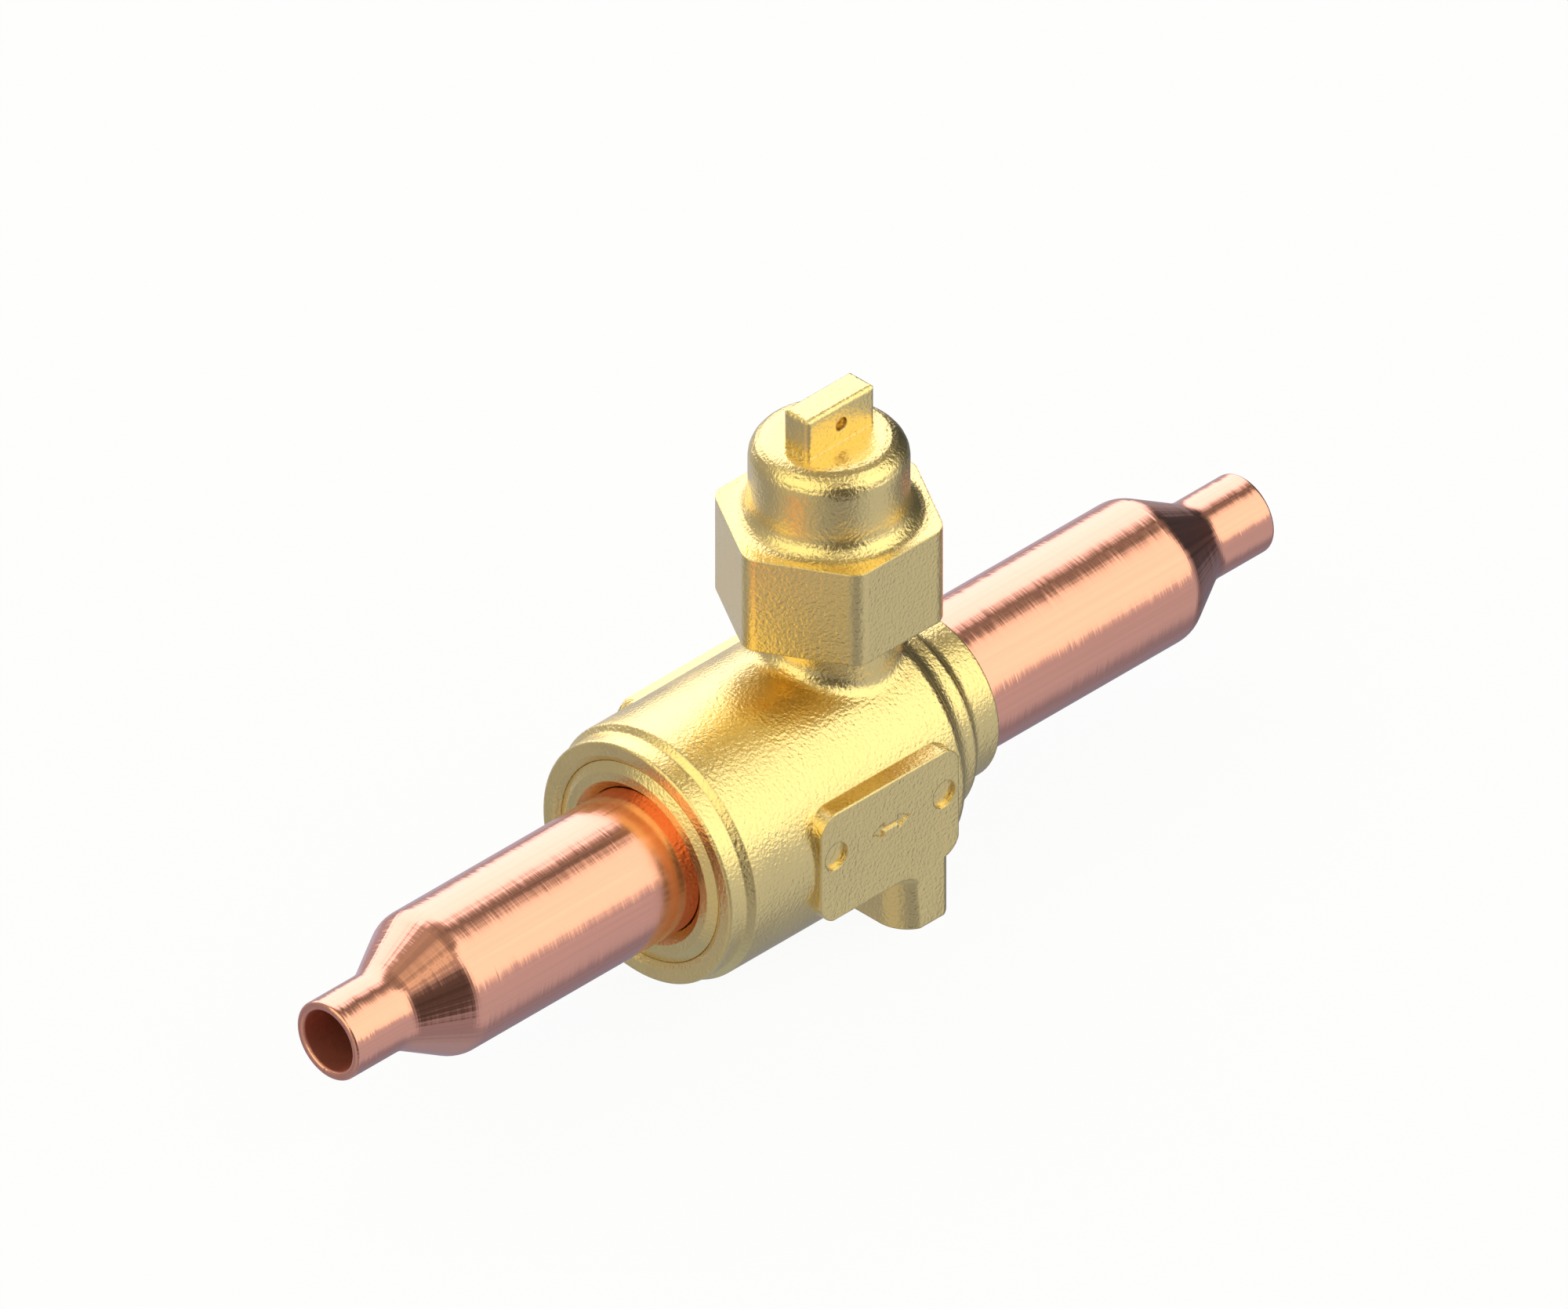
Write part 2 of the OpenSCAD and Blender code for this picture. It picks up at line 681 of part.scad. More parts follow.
module blade() {
    full_h = 2 * blade_h;
    difference() {
        translate([0, 0, crown_top]) soft_block(blade_len, blade_w, full_h, blade_edge_r, blade_edge_r);
        bar_z(crown_d, 0, crown_top - bite);
        translate([0, 0, crown_top + wire_hole_rise]) rotate([90, 0, 0])
            cylinder(d = wire_hole_d, h = 2 * blade_w, center = true);
    }
}

module cap_bore() {
    drill_tip = cavity_d / 2 / tan(drill_angle / 2);
    turned_z([
        [0, cap_bottom - bite],
        [cap_thread_d / 2 + mouth_chamfer, cap_bottom - bite],
        [cap_thread_d / 2 + mouth_chamfer, cap_bottom],
        [cap_thread_d / 2, cap_bottom + mouth_chamfer],
        [cap_thread_d / 2, gasket_top],
        [cavity_d / 2, gasket_top],
        [cavity_d / 2, cavity_top],
        [0, cavity_top + drill_tip]]);
}

module seal_cap() {
    on_axis() color(BRASS) difference() {
        union() {
            translate([0, 0, cap_bottom]) hexagon();
            crown();
            blade();
        }
        cap_bore();
    }
}

module cap_gasket() {
    on_axis() color(PTFE)
        ring_z(cavity_d / 2 + gasket_clear, cap_thread_d / 2 - gasket_clear, neck_top, gasket_top);
}

// Copper tube from its socket to its reduced end
module stub(start, reach) {
    cone_end = reach - small_len;
    cone_start = cone_end - cone_len;
    bore_r = solder_bore_d / 2;
    on_axis() color(COPPER) turned_x(rounded([
        [tube_r - tube_wall, start, 0],
        [tube_r, start, lip_r],
        [tube_r, cone_start, cone_blend_r],
        [small_r, cone_end, cone_blend_r],
        [small_r, reach, lip_r],
        [bore_r, reach, lip_r],
        [bore_r, cone_end, cone_blend_r - tube_wall],
        [tube_r - tube_wall, cone_start, cone_blend_r - tube_wall]]));
}
module tube_far() { stub(far_socket_end, far_reach); }
module tube_near() { near_side() stub(near_socket_end, near_reach); }

module braze_ring(x) {
    on_axis() color(SILVER_ALLOY)
        ring_x(tube_r + seal_clear, socket_r + braze_ring_w / 2 - seal_clear,
               x - braze_ring_w / 2, x + braze_ring_w / 2);
}
module braze_ring_near() { braze_ring(-body_near + near_socket_len / 2); }
module braze_ring_far() { braze_ring(hub_far - far_socket_len / 2); }

valve_body();
end_plug();
end_plug_oring();
ball();
seat_near();
seat_far();
seat_oring_near();
seat_oring_far();
stem();
stem_thrust_washer();
stem_oring_lower();
stem_oring_upper();
stem_backup_ring_lower();
stem_backup_ring_upper();
stop_pin();
seal_cap();
cap_gasket();
tube_near();
tube_far();
braze_ring_near();
braze_ring_far();
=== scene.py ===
"""Shut-off ball valve with soldered copper stubs: finishes, threads, flow mark and studio."""
import math

import bmesh
import bpy
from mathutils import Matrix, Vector


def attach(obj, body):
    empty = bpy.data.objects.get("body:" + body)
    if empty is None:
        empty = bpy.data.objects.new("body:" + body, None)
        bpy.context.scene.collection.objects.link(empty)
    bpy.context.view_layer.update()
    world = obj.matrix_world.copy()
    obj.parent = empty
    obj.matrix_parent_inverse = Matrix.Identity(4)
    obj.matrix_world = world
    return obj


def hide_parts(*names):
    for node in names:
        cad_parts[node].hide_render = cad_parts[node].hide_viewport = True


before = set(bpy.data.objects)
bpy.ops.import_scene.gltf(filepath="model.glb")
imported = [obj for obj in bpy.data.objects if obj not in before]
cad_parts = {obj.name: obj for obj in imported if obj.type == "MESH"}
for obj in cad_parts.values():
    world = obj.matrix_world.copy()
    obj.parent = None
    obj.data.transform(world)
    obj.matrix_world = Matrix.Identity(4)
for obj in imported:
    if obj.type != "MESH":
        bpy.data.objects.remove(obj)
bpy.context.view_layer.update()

MM = 0.001
AXIS_H = 18.8 * MM  # height of the pipe axis above the foot face
PIPE = (1.0, 0.0, 0.0)  # direction of the pipe axis
ACROSS_PIPE = (0.0, 1.0, 1.0)

# Camera: parallel view from the near end, the flow-mark side and above
VIEW_AZIMUTH = -45.0
VIEW_ELEVATION = 35.264
VIEW_WIDTH = 219.35 * MM
AIM_RIGHT = -6.295 * MM
AIM_UP = 13.676 * MM
CAMERA_DISTANCE = 0.5
CAMERA_CLIP = (0.01, 5.0)

# Thread between the neck and the seal cap, with heights above the pipe axis
THREAD_PITCH = 1.5 * MM
NECK_CORE_R = 9.2 * MM
NECK_CREST_R = 9.95 * MM
CAP_BORE_R = 10.05 * MM
CAP_CREST_R = 9.35 * MM
NECK_THREAD = (26.6 * MM, 33.2 * MM)
CAP_THREAD = (27.2 * MM, 34.6 * MM)
NECK_PHASE = 0.0
# Turn that puts the cap's ridge half a pitch beside the neck's
CAP_PHASE = 2 * math.pi * (CAP_THREAD[0] - NECK_THREAD[0]) / THREAD_PITCH - math.pi
THREAD_STEPS = 48  # rings in one turn of a ridge
THREAD_FADE = THREAD_STEPS / 3  # rings over which a ridge fades out at either end
TOOTH_ROOT_HALF = 0.4 * THREAD_PITCH
TOOTH_CREST_HALF = 0.07 * THREAD_PITCH
TOOTH_SUNK = 0.1  # share of a tooth's height that is sunk in the wall
TOOTH_LEAST = 0.05  # share of a tooth's height that is left at the end of a ridge

# Double arrow sunk in the pad face on the -Y side, in millimetres from the axis crossing
ARROW_MIDDLE = (-8.05, 1.72)
ARROW_LENGTH = 7.3
ARROW_HEAD = (2.25, 2.4)  # length and width
ARROW_SHAFT = 0.75
ARROW_DEPTH = 0.28
ARROW_CUTTER_OUT = 1.0  # how far the cutter stands out of the face
PAD_FACE_Y = -20.4

# Joining and shading of meshes, angles in degrees
WELD_DISTANCE = 0.0005 * MM
BODY_SHARP_ANGLE = 28
THREAD_SHARP_ANGLE = 30

# Colours of the finishes
BRASS = (0.95, 0.74, 0.32, 1)
COPPER = (0.95, 0.45, 0.32, 1)
COPPER_BORE = (0.93, 0.45, 0.34, 1)
BRAZE_ALLOY = (0.80, 0.74, 0.55, 1)
CHROME = (0.62, 0.63, 0.65, 1)
STEEL = (0.56, 0.55, 0.53, 1)
FILLED_PTFE = (0.88, 0.88, 0.85, 1)
BLACK_RUBBER = (0.022, 0.022, 0.024, 1)
WHITE = (1, 1, 1, 1)


# ---- node helpers ---------------------------------------------------------------------------

# Places of the colour sockets on a Mix node
MIX_FACTOR, MIX_FIRST, MIX_SECOND, MIX_RESULT = 0, 6, 7, 2


def give(tree, socket, value):
    """Links an output to a socket, or sets the socket to a plain value."""
    if isinstance(value, bpy.types.NodeSocket):
        tree.links.new(value, socket)
    else:
        socket.default_value = value


def add(tree, kind, values=None, **settings):
    """A new node with its settings, and with inputs given by their names or places."""
    node = tree.nodes.new("ShaderNode" + kind)
    for key, value in settings.items():
        setattr(node, key, value)
    for key, value in (values or {}).items():
        give(tree, node.inputs[key], value)
    return node


def maths(tree, operation, *values):
    return add(tree, "Math", dict(enumerate(values)), operation=operation).outputs[0]


def vector_maths(tree, operation, *values):
    """One step with vectors, where SCALE takes a number as its second value."""
    keys = (0, "Scale") if operation == "SCALE" else range(len(values))
    node = add(tree, "VectorMath", dict(zip(keys, values)), operation=operation)
    return node.outputs["Value" if operation == "DOT_PRODUCT" else "Vector"]


def ramp(tree, factor, low, high, out_low=0.0, out_high=1.0, kind="SMOOTHSTEP"):
    """Change from out_low to out_high while the factor goes from low to high."""
    values = {"Value": factor, "From Min": low, "From Max": high,
              "To Min": out_low, "To Max": out_high}
    return add(tree, "MapRange", values, interpolation_type=kind).outputs["Result"]


def noise(tree, vector, scale=1.0, **shape):
    """Noise about one half, with its shape by the names of the sockets."""
    return add(tree, "TexNoise", {"Vector": vector, "Scale": scale, **shape}).outputs[0]


def mix_colour(tree, factor, first, second):
    values = {MIX_FACTOR: factor, MIX_FIRST: first, MIX_SECOND: second}
    return add(tree, "Mix", values, data_type="RGBA").outputs[MIX_RESULT]


def mix_shaders(tree, factor, first, second):
    """The first shader at factor nought and the second at one."""
    return add(tree, "MixShader", dict(enumerate((factor, first, second)))).outputs[0]


def new_group(name, inputs, outputs):
    """An empty node group with named sockets: (name, kind, default)."""
    tree = bpy.data.node_groups.new(name, "ShaderNodeTree")
    for label, kind, default in inputs:
        socket = tree.interface.new_socket(label, in_out="INPUT", socket_type="NodeSocket" + kind)
        if default is not None:
            socket.default_value = default
    for label, kind in outputs:
        tree.interface.new_socket(label, in_out="OUTPUT", socket_type="NodeSocket" + kind)
    source = tree.nodes.new("NodeGroupInput")
    result = tree.nodes.new("NodeGroupOutput")
    return tree, source.outputs, result.inputs


def use_group(tree, group, **values):
    """Outputs of a node that holds the group, with inputs given by their names."""
    node = tree.nodes.new("ShaderNodeGroup")
    node.node_tree = group
    for key, value in values.items():
        give(tree, node.inputs[key.replace("_", " ")], value)
    return node.outputs


# ---- shared surface effects -----------------------------------------------------------------

# Forging: cells beside the fine grain, in number and in height, and the cloud of its tone
CELLS_TO_GRAIN = 1.2
CELL_SMOOTHNESS = 0.7
CELL_SHARE = 0.35
CLOUD_SCALE = 120.0
CLOUD_TONES = (0.3, 0.7)

# Drawn copper: noise waves per metre along and across the pipe, and streaks round it
NOISE_MIDDLE = 0.5
SCORE_WAVES = (3200.0, 60.0, 60.0)
BUNCH_WAVES = (420.0, 60.0, 60.0)
STREAK_WAVES = (14.0, 0.0, 0.0)
STREAKS_ROUND = 16.0
STREAK_TONES = (0.35, 0.65)
BUNCH_RANGE = (0.3, 0.65)
BUNCH_DEPTH = (0.45, 1.0)  # depth of the scores between and in their bunches
CONE_SLOPE = (0.15, 0.45)  # slope of the wall where a cone's deeper streaks begin and are full
CONE_STREAKS = (1.0, 3.5)  # their depth beside that on the plain tube

# Turned and ground faces: noise waves along X and Y, the spacing goes with Z
LINE_WAVES = (60.0, 60.0, 1.0)


def skin_group(name, **amounts):
    """An empty group from named amounts and a normal to a normal and a tone."""
    inputs = [(label, "Float", amount) for label, amount in amounts.items()]
    return new_group(name, inputs + [("Normal", "Vector", None)],
                     [("Normal", "Vector"), ("Tone", "Float")])


def place_on_part(tree):
    return add(tree, "TexCoord").outputs["Object"]


def away_from_axis(tree):
    """Unit vector from the pipe axis to the point that is shaded."""
    from_axis = vector_maths(tree, "SUBTRACT", place_on_part(tree), (0.0, 0.0, AXIS_H))
    return vector_maths(tree, "NORMALIZE", vector_maths(tree, "MULTIPLY", from_axis, ACROSS_PIPE))


def bumped(tree, height, given):
    """The group's normal over a height field of the group's depth."""
    return add(tree, "Bump", {"Height": height, "Distance": given["Depth"], "Strength": 1.0,
                              "Normal": given["Normal"]}).outputs["Normal"]


def forged_grain_group():
    """Orange-peel skin of a blasted hot forging: a normal and a faint change of tone."""
    tree, given, out = skin_group("forged_grain", Grain=1500.0, Depth=0.1 * MM)
    place = place_on_part(tree)
    fine = noise(tree, place, given["Grain"], Detail=1.5, Roughness=0.5, Distortion=0.3)
    number = maths(tree, "MULTIPLY", given["Grain"], CELLS_TO_GRAIN)
    cells = add(tree, "TexVoronoi", {"Vector": place, "Scale": number,
                                     "Smoothness": CELL_SMOOTHNESS}, feature="SMOOTH_F1")
    height = maths(tree, "MULTIPLY_ADD", cells.outputs["Distance"], CELL_SHARE, fine)
    give(tree, out["Normal"], bumped(tree, height, given))
    cloud = noise(tree, place, CLOUD_SCALE, Detail=3.0)
    give(tree, out["Tone"], ramp(tree, cloud, *CLOUD_TONES))
    return tree


def drawn_tube_group():
    """Drawn copper: fine scores round the tube and streaks along it, as tilts of the normal."""
    tree, given, out = skin_group("drawn_tube", Scores=0.08, Streaks=0.05)
    place = place_on_part(tree)
    normal = given["Normal"]
    around = vector_maths(tree, "NORMALIZE", vector_maths(tree, "CROSS_PRODUCT", PIPE, normal))
    along = vector_maths(tree, "ADD", vector_maths(tree, "MULTIPLY", place, STREAK_WAVES),
                         vector_maths(tree, "SCALE", away_from_axis(tree), STREAKS_ROUND))
    scores = noise(tree, vector_maths(tree, "MULTIPLY", place, SCORE_WAVES),
                   Detail=3.0, Roughness=0.7)
    bunches = noise(tree, vector_maths(tree, "MULTIPLY", place, BUNCH_WAVES), Detail=2.0)
    streaks = noise(tree, along, Detail=3.0, Roughness=0.6)
    amount = ramp(tree, bunches, *BUNCH_RANGE, *BUNCH_DEPTH)
    sway = maths(tree, "MULTIPLY", maths(tree, "SUBTRACT", scores, NOISE_MIDDLE), amount)
    tilt = maths(tree, "MULTIPLY", sway, given["Scores"])
    slope = maths(tree, "ABSOLUTE", vector_maths(tree, "DOT_PRODUCT", normal, PIPE))
    drawn = maths(tree, "MULTIPLY", given["Streaks"],
                  ramp(tree, slope, *CONE_SLOPE, *CONE_STREAKS))
    ripple = maths(tree, "MULTIPLY", maths(tree, "SUBTRACT", streaks, NOISE_MIDDLE), drawn)
    turned = vector_maths(tree, "SCALE", around, maths(tree, "ADD", tilt, ripple))
    bent = vector_maths(tree, "NORMALIZE", vector_maths(tree, "ADD", normal, turned))
    give(tree, out["Normal"], bent)
    give(tree, out["Tone"], ramp(tree, streaks, *STREAK_TONES))
    return tree


def turning_group():
    """Fine tool lines of a lathe or grinder across the Z axis."""
    tree, given, out = skin_group("turning_lines", Spacing=5000.0, Depth=0.004 * MM)
    flat = vector_maths(tree, "MULTIPLY", place_on_part(tree), LINE_WAVES)
    parts = add(tree, "SeparateXYZ", {"Vector": flat}).outputs
    level = maths(tree, "MULTIPLY", parts["Z"], given["Spacing"])
    place = add(tree, "CombineXYZ", {"X": parts["X"], "Y": parts["Y"], "Z": level})
    lines = noise(tree, place.outputs[0], Detail=2.0)
    give(tree, out["Normal"], bumped(tree, lines, given))
    give(tree, out["Tone"], lines)
    return tree


GRAIN = forged_grain_group()
DRAWN = drawn_tube_group()
TURNING = turning_group()


# ---- materials ------------------------------------------------------------------------------

FINE_EDGE = 0.08 * MM  # rounding of a turned or drawn edge
EDGE_SAMPLES = 4
# How dark the darker patches of a finish are
BRASS_DARKER = 0.96
COPPER_DARKER = 0.94
TURNED_DARKER = 0.93
TURNED_TONES = (0.3, 0.7)
COPPER_ROUGHNESS = (0.16, 0.22)
BORE_ROUGHNESS = 0.5
BORE_FACING = (-0.6, -0.8)  # how straight a wall faces the pipe axis where the bore sets in


def blank_material(name, **values):
    """A material with one Principled shader, and its tree."""
    material = bpy.data.materials.new(name)
    material.use_nodes = True
    tree = material.node_tree
    tree.nodes.clear()
    shader = add(tree, "BsdfPrincipled", {k.replace("_", " "): v for k, v in values.items()})
    add(tree, "OutputMaterial", {"Surface": shader.outputs[0]})
    return material, tree, shader


def edge_normal(tree, radius):
    """Normal that shows sharp edges a little rounded."""
    return add(tree, "Bevel", {"Radius": radius}, samples=EDGE_SAMPLES).outputs["Normal"]


def toned(tree, tone, colour, darker):
    """A colour that wanders between itself and a darker share of it."""
    low = tuple(c * darker for c in colour[:3]) + (1,)
    return mix_colour(tree, tone, low, colour)


def dress(tree, shader, colour, roughness, normal):
    for name, value in (("Base Color", colour), ("Roughness", roughness), ("Normal", normal)):
        give(tree, shader.inputs[name], value)


def brass_material(name, grain, depth, edge, roughness):
    """Brass with the grain of a forging, coarse or worn finer."""
    material, tree, shader = blank_material(name, Metallic=1.0)
    skin = use_group(tree, GRAIN, Grain=grain, Depth=depth, Normal=edge_normal(tree, edge))
    dress(tree, shader, toned(tree, skin["Tone"], BRASS, BRASS_DARKER),
          ramp(tree, skin["Tone"], 0.0, 1.0, *roughness), skin["Normal"])
    return material


def bore_mask(tree):
    """One on walls that face the pipe axis, nought outside."""
    normal = add(tree, "NewGeometry").outputs["Normal"]
    facing = vector_maths(tree, "DOT_PRODUCT", away_from_axis(tree), normal)
    return ramp(tree, facing, *BORE_FACING)


def copper_material():
    """Drawn and bright outside, dull in the bore."""
    material, tree, shader = blank_material("drawn_copper", Metallic=1.0)
    drawn = use_group(tree, DRAWN, Scores=0.36, Streaks=0.15, Normal=edge_normal(tree, FINE_EDGE))
    bore = bore_mask(tree)
    skin = toned(tree, drawn["Tone"], COPPER, COPPER_DARKER)
    outside = ramp(tree, drawn["Tone"], 0.0, 1.0, *COPPER_ROUGHNESS)
    dress(tree, shader, mix_colour(tree, bore, skin, COPPER_BORE),
          ramp(tree, bore, 0.0, 1.0, outside, BORE_ROUGHNESS), drawn["Normal"])
    return material


def turned_material(name, colour, spacing, depth, roughness, metallic=1.0, **more):
    """A finish with tool lines."""
    material, tree, shader = blank_material(name, Metallic=metallic, **more)
    lines = use_group(tree, TURNING, Spacing=spacing, Depth=depth,
                      Normal=edge_normal(tree, FINE_EDGE))
    dress(tree, shader, toned(tree, lines["Tone"], colour, TURNED_DARKER),
          ramp(tree, lines["Tone"], *TURNED_TONES, *roughness), lines["Normal"])
    return material


def material_set():
    """Every finish by its record slot."""
    return {
        "forged_brass": brass_material("forged_brass_skin", grain=1850.0, depth=0.095 * MM,
                                       edge=0.4 * MM, roughness=(0.26, 0.32)),
        "turned_brass": brass_material("plug_brass_skin", grain=1900.0, depth=0.075 * MM,
                                       edge=0.25 * MM, roughness=(0.22, 0.28)),
        "copper": copper_material(),
        "braze_alloy": turned_material("braze_alloy_flow", BRAZE_ALLOY, spacing=900.0,
                                       depth=0.004 * MM, roughness=(0.3, 0.42)),
        "ball_plating": turned_material("polished_chrome", CHROME, spacing=9000.0,
                                        depth=0.0004 * MM, roughness=(0.05, 0.09)),
        "stem_steel": turned_material("ground_steel", STEEL, spacing=7000.0,
                                      depth=0.002 * MM, roughness=(0.22, 0.32)),
        "ptfe": turned_material("filled_ptfe", FILLED_PTFE, spacing=5000.0,
                                depth=0.002 * MM, roughness=(0.38, 0.5), metallic=0.0,
                                Specular_IOR_Level=0.4),
        "seal_rubber": turned_material("seal_rubber_black", BLACK_RUBBER, spacing=1500.0,
                                       depth=0.002 * MM, roughness=(0.42, 0.55), metallic=0.0),
    }


# Carried-over CAD nodes by the record slot of their finish
NODE_FINISH = {
    "forged_brass": ("seal_cap",),
    "turned_brass": ("end_plug",),
    "copper": ("tube_near", "tube_far"),
    "braze_alloy": ("braze_ring_near", "braze_ring_far"),
    "ball_plating": ("ball",),
    "stem_steel": ("stem", "stop_pin"),
    "ptfe": ("seat_near", "seat_far", "stem_thrust_washer", "stem_backup_ring_lower",
             "stem_backup_ring_upper", "cap_gasket"),
    "seal_rubber": ("end_plug_oring", "seat_oring_near", "seat_oring_far", "stem_oring_lower",
                    "stem_oring_upper"),
}


def dress_nodes(materials):
    for slot, nodes in NODE_FINISH.items():
        for node in nodes:
            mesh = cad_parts[node].data
            mesh.materials.clear()
            mesh.materials.append(materials[slot])


# ---- pieces ---------------------------------------------------------------------------------

def new_object(name, bm):
    """An object in the scene with the mesh that bm holds. bm is used up."""
    mesh = bpy.data.meshes.new(name)
    bm.to_mesh(mesh)
    bm.free()
    made = bpy.data.objects.new(name, mesh)
    bpy.context.scene.collection.objects.link(made)
    return made


def new_piece(name, bm, material, body):
    """A piece of the visual model, riding on a body and wearing a record slot's finish."""
    piece = new_object(name, bm)
    piece.data.materials.append(material)
    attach(piece, body)
    return piece


def apply_modifiers(piece):
    """Replaces the piece's mesh by what its modifiers make of it."""
    evaluated = piece.evaluated_get(bpy.context.evaluated_depsgraph_get())
    made = bpy.data.meshes.new_from_object(evaluated)
    piece.modifiers.clear()
    old, piece.data = piece.data, made
    made.name = old.name
    bpy.data.meshes.remove(old)


def welded(node):
    """A mesh of a CAD node with its faces joined into one skin."""
    bm = bmesh.new()
    bm.from_mesh(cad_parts[node].data)
    bmesh.ops.remove_doubles(bm, verts=bm.verts, dist=WELD_DISTANCE)
    return bm


def smooth_shading(piece, sharp_angle):
    """Smooth faces with sharp real edges, and flats that stay flat beside their roundings."""
    mesh = piece.data
    if "custom_normal" in mesh.attributes:
        mesh.attributes.remove(mesh.attributes["custom_normal"])
    mesh.polygons.foreach_set("use_smooth", [True] * len(mesh.polygons))
    mesh.set_sharp_from_angle(angle=math.radians(sharp_angle))
    weighting = piece.modifiers.new("flats", "WEIGHTED_NORMAL")
    weighting.keep_sharp = True


def arrow_outline():
    """Corners of the double arrow in the pad face, in millimetres from its middle."""
    half = ARROW_LENGTH / 2
    head, wide = ARROW_HEAD
    neck, thin = half - head, ARROW_SHAFT / 2
    right = [(neck, -thin), (neck, -wide / 2), (half, 0), (neck, wide / 2), (neck, thin)]
    return right + [(-x, -z) for x, z in right]


def arrow_cutter():
    """Solid of the double arrow, standing a little out of the pad face."""
    bm = bmesh.new()
    inner, outer = ([bm.verts.new(((ARROW_MIDDLE[0] + x) * MM, y * MM,
                                   AXIS_H + (ARROW_MIDDLE[1] + z) * MM))
                     for x, z in arrow_outline()]
                    for y in (PAD_FACE_Y + ARROW_DEPTH, PAD_FACE_Y - ARROW_CUTTER_OUT))
    bm.faces.new(inner)
    bm.faces.new(outer[::-1])
    for i in range(len(inner)):
        j = (i + 1) % len(inner)
        bm.faces.new((inner[j], inner[i], outer[i], outer[j]))
    bmesh.ops.recalc_face_normals(bm, faces=bm.faces)
    return new_object("arrow_cutter", bm)


def forged_body(materials):
    """The body forging with its flow arrow sunk in the pad."""
    piece = new_piece("forged_body", welded("valve_body"), materials["forged_brass"],
                      "valve")
    cutter = arrow_cutter()
    cut = piece.modifiers.new("arrow", "BOOLEAN")
    cut.operation, cut.solver, cut.object = "DIFFERENCE", "EXACT", cutter
    apply_modifiers(piece)
    bpy.data.objects.remove(cutter)
    smooth_shading(piece, BODY_SHARP_ANGLE)
    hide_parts("valve_body")


def helix_ridge(name, root_r, crest_r, span, phase, material, body):
    """A thread ridge: one tooth swept along a right-hand helix, fading out at both ends."""
    low, high = span
    count = int((high - low) / THREAD_PITCH * THREAD_STEPS)
    foot_r = root_r + (root_r - crest_r) * TOOTH_SUNK
    bm = bmesh.new()
    rings = []
    for i in range(count + 1):
        angle = 2 * math.pi * i / THREAD_STEPS + phase
        z = AXIS_H + low + THREAD_PITCH * i / THREAD_STEPS
        full = max(min(1.0, i / THREAD_FADE, (count - i) / THREAD_FADE), TOOTH_LEAST)
        crest = root_r + (crest_r - root_r) * full
        half = TOOTH_CREST_HALF + (TOOTH_ROOT_HALF - TOOTH_CREST_HALF) * (1 - full)
        tooth = ((foot_r, -TOOTH_ROOT_HALF), (crest, -half), (crest, half),
                 (foot_r, TOOTH_ROOT_HALF))
        rings.append([bm.verts.new((r * math.cos(angle), r * math.sin(angle), z + dz))
                      for r, dz in tooth])
    for a, b in zip(rings, rings[1:]):
        for k in range(len(tooth)):
            following = (k + 1) % len(tooth)
            bm.faces.new((a[k], a[following], b[following], b[k]))
    bm.faces.new(rings[0][::-1])
    bm.faces.new(rings[-1])
    bmesh.ops.recalc_face_normals(bm, faces=bm.faces)
    smooth_shading(new_piece(name, bm, material, body), THREAD_SHARP_ANGLE)


# ---- studio and camera ----------------------------------------------------------------------

# Cards round the object, as the metal sees them: middle azimuth from +X towards +Y and elevation
# in degrees, half width, half height and soft edge as shares of their distance, brightness.
# A later card covers an earlier one.
STUDIO_CARDS = (
    ("floor_back", 75, -32, 0.50, 0.36, 0.2, (0.56, 0.59, 0.74)),
    ("floor_front", 300, -25, 0.51, 0.50, 0.2, (0.56, 0.59, 0.68)),
    ("floor_left", 178, -25, 0.50, 0.48, 0.2, (0.52, 0.49, 0.46)),
    ("dark_far_floor", 3, -27, 0.55, 0.42, 0.2, (0.18, 0.20, 0.26)),
    ("dark_far_end", 6, 10, 0.45, 0.55, 0.17, (0.045, 0.055, 0.07)),
    ("dark_left", 244, 6, 0.32, 0.56, 0.16, (0.07, 0.06, 0.055)),
    ("softbox_left", 181, 35, 0.60, 0.58, 0.12, (1.42, 1.36, 0.96)),
    ("softbox_back", 66, 29, 0.58, 0.54, 0.14, (1.95, 1.95, 2.05)),
    ("softbox_front", 299, 35, 0.56, 0.62, 0.12, (1.50, 1.50, 1.28)),
    ("overhead_gap", 7, 52, 0.10, 0.42, 0.08, (0.16, 0.15, 0.13)),
)
# Light between the cards by elevation, from straight below to straight above
STUDIO_BASE = (
    (-80, (0.38, 0.44, 0.54)),
    (-50, (0.29, 0.31, 0.40)),
    (0, (0.38, 0.38, 0.41)),
    (62, (0.46, 0.42, 0.35)),
    (82, (0.26, 0.24, 0.19)),
)
LEAST_AHEAD = 0.02  # how far ahead a direction has to point to meet a card

FLOOR_HALF = 3.0
FLOOR_SEGMENTS = 8
FLOOR_DROP = 0.05 * MM  # gap under the foot
FLOOR_PAINT = (0.9, 0.9, 0.9, 1)
FLOOR_WHITE = 0.94  # share of its own white in the floor that the camera sees


